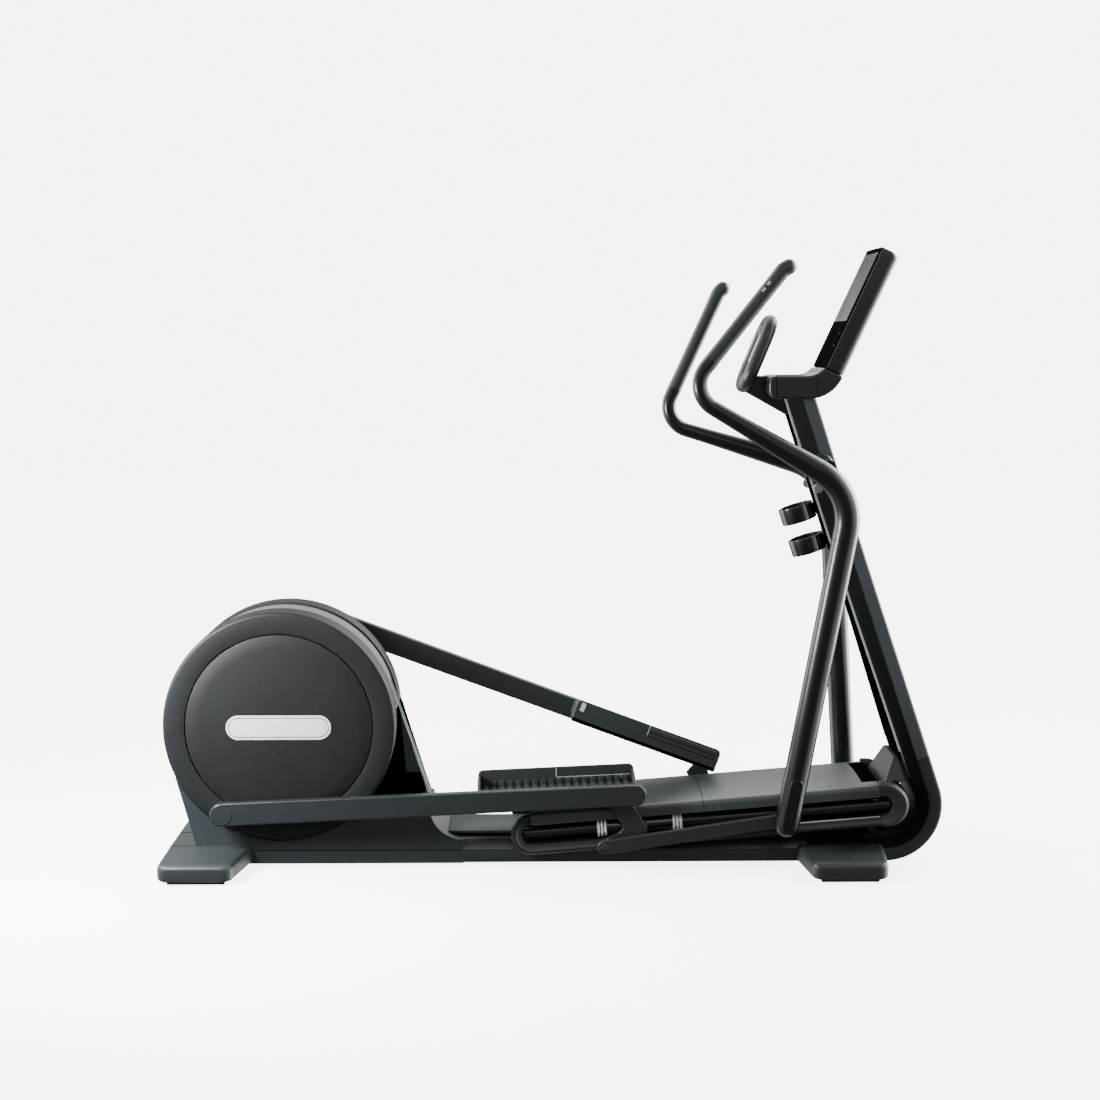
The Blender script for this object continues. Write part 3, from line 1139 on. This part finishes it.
def repaint_hidden():
    """Finishes for the CAD pieces that stay as they are."""
    finishes = {"crank_shaft": STEEL, "drive_pulley": BLACK, "flywheel": STEEL, "drive_belt": BELT,
                "arm_pivot_shaft": STEEL, "ramp_core": BLACK}
    for node, material in finishes.items():
        repaint(node, material)
    for _, hand in SIDES:
        repaint(f"crank_bearing_{hand}", STEEL)
        repaint(f"bearing_plate_{hand}", FRAME)


# ---------------------------------------------------------------- setting, in metres
FLOOR_REACH, FLOOR_DROP, FLOOR_GLOW, BACKDROP_GLOW = 14, 0.001, 5.0, 6.2
CAMERA_AT, CAMERA_TURN = (-0.0775, -5.0, 1.4126), (83.574, 0, -0.774)
LENS_MM, SENSOR_MM = 60.15, 36

# Name, place, target, size, watts, and whether glossy surfaces mirror it
LIGHTS = (("key", (-1.5, -0.72, 0.98), (-1.06, -0.2, 0.66), (0.45, 0.45), 74, True),
          ("fill", (0.6, -4.2, 3.2), (0.2, 0, 0.6), (3.0, 2.2), 26, True),
          ("overhead", (0.2, 0.5, 3.2), (0.1, 0, 0.3), (2.4, 1.4), 60, False),
          ("side", (3.2, 0.6, 1.4), (0.6, 0, 0.8), (1.2, 2.4), 60, True),
          ("rim", (1.5, 2.8, 3.0), (0, 0, 0.6), (3.0, 1.6), 60, True))


def area_light(name, location, target, size, power, mirrored):
    lamp = bpy.data.lights.new(name, "AREA")
    lamp.shape = "RECTANGLE"
    lamp.size, lamp.size_y = size
    lamp.energy = power
    light = bpy.data.objects.new(name, lamp)
    light.location = location
    light.visible_camera = False
    light.visible_glossy = mirrored
    light.rotation_euler = (Vector(target) - Vector(location)).to_track_quat("-Z", "Y").to_euler()
    scene.collection.objects.link(light)


def build_world():
    """A white studio that is brightest behind, above and at both ends of the object.

    Reflections see brighter ends and a darker strip straight behind. The backdrop itself is one even tone."""
    world = bpy.data.worlds.new("studio")
    scene.world = world
    world.use_nodes = True
    nodes, links = world.node_tree.nodes, world.node_tree.links
    background = nodes["Background"]
    background.inputs["Color"].default_value = (1, 1, 1, 1)
    coords = nodes.new("ShaderNodeTexCoord")
    split = nodes.new("ShaderNodeSeparateXYZ")
    links.new(coords.outputs["Generated"], split.inputs[0])

    def ramp(output, low, high, at_low, at_high):
        node = nodes.new("ShaderNodeMapRange")
        for key, value in (("From Min", low), ("From Max", high), ("To Min", at_low), ("To Max", at_high)):
            node.inputs[key].default_value = value
        links.new(output, node.inputs["Value"])
        return node.outputs["Result"]

    def multiply(a, b):
        node = nodes.new("ShaderNodeMath")
        node.operation = "MULTIPLY"
        links.new(a, node.inputs[0])
        links.new(b, node.inputs[1])
        return node.outputs[0]

    along, across, up = [split.outputs[axis] for axis in "XYZ"]
    depth = ramp(across, 0.0, 0.8, 0.27, 2.6)
    height = ramp(up, -0.4, 0.7, 0.5, 1.3)
    sideways = nodes.new("ShaderNodeMath")
    sideways.operation = "ABSOLUTE"
    links.new(along, sideways.inputs[0])
    soft_ends = ramp(sideways.outputs[0], 0.6, 0.95, 1.0, 3.0)
    bright_ends = multiply(ramp(along, 0.5, 0.9, 1.0, 15.0), ramp(along, -0.5, -0.9, 1.0, 5.0))
    dark_behind = ramp(across, 0.5, 0.85, 1.0, 0.2)
    seen = nodes.new("ShaderNodeLightPath")

    def choose(ray, otherwise, chosen):
        """Takes chosen, a number or an output, for one kind of ray, and otherwise for the rest."""
        node = nodes.new("ShaderNodeMix")
        links.new(seen.outputs[ray], node.inputs["Factor"])
        links.new(otherwise, node.inputs["A"])
        if isinstance(chosen, float):
            node.inputs["B"].default_value = chosen
        else:
            links.new(chosen, node.inputs["B"])
        return node.outputs["Result"]

    ends = choose("Is Glossy Ray", soft_ends, multiply(bright_ends, dark_behind))
    light = choose("Is Camera Ray", multiply(multiply(depth, height), ends), BACKDROP_GLOW)
    links.new(light, background.inputs["Strength"])


def build_floor():
    """A pale floor that glows evenly and doesn't tint or mirror in the object."""
    mesh = bpy.data.meshes.new("floor")
    far = FLOOR_REACH
    corners = [(x, y, -FLOOR_DROP) for x, y in ((-far, -far), (far, -far), (far, far), (-far, far))]
    mesh.from_pydata(corners, [], [(0, 1, 2, 3)])
    floor = bpy.data.objects.new("floor", mesh)
    scene.collection.objects.link(floor)
    pale = finish("pale_floor", "f6f6f6", 0.8, grain=0.0, tone=0.0)
    shader = pale.node_tree.nodes["Principled BSDF"]
    shader.inputs["Emission Color"].default_value = (1, 1, 1, 1)
    shader.inputs["Emission Strength"].default_value = FLOOR_GLOW
    mesh.materials.append(pale)
    floor.visible_diffuse = False
    floor.visible_glossy = False


def build_camera():
    lens = bpy.data.cameras.new("studio_camera")
    lens.lens = LENS_MM
    lens.sensor_width = SENSOR_MM
    camera = bpy.data.objects.new("studio_camera", lens)
    camera.location = CAMERA_AT
    camera.rotation_euler = [math.radians(angle) for angle in CAMERA_TURN]
    scene.collection.objects.link(camera)
    scene.camera = camera


build_frame()
build_trims()
build_pedestal()
build_feet()
build_housing()
build_drum_sides()
build_crankset()
build_ramp()
build_front_bracket()
build_carriages()
build_links()
build_drag_links()
build_arms()
build_console()
build_handlebar()
build_bottle_rings()
repaint_hidden()
build_floor()
build_world()
for light in LIGHTS:
    area_light(*light)
build_camera()
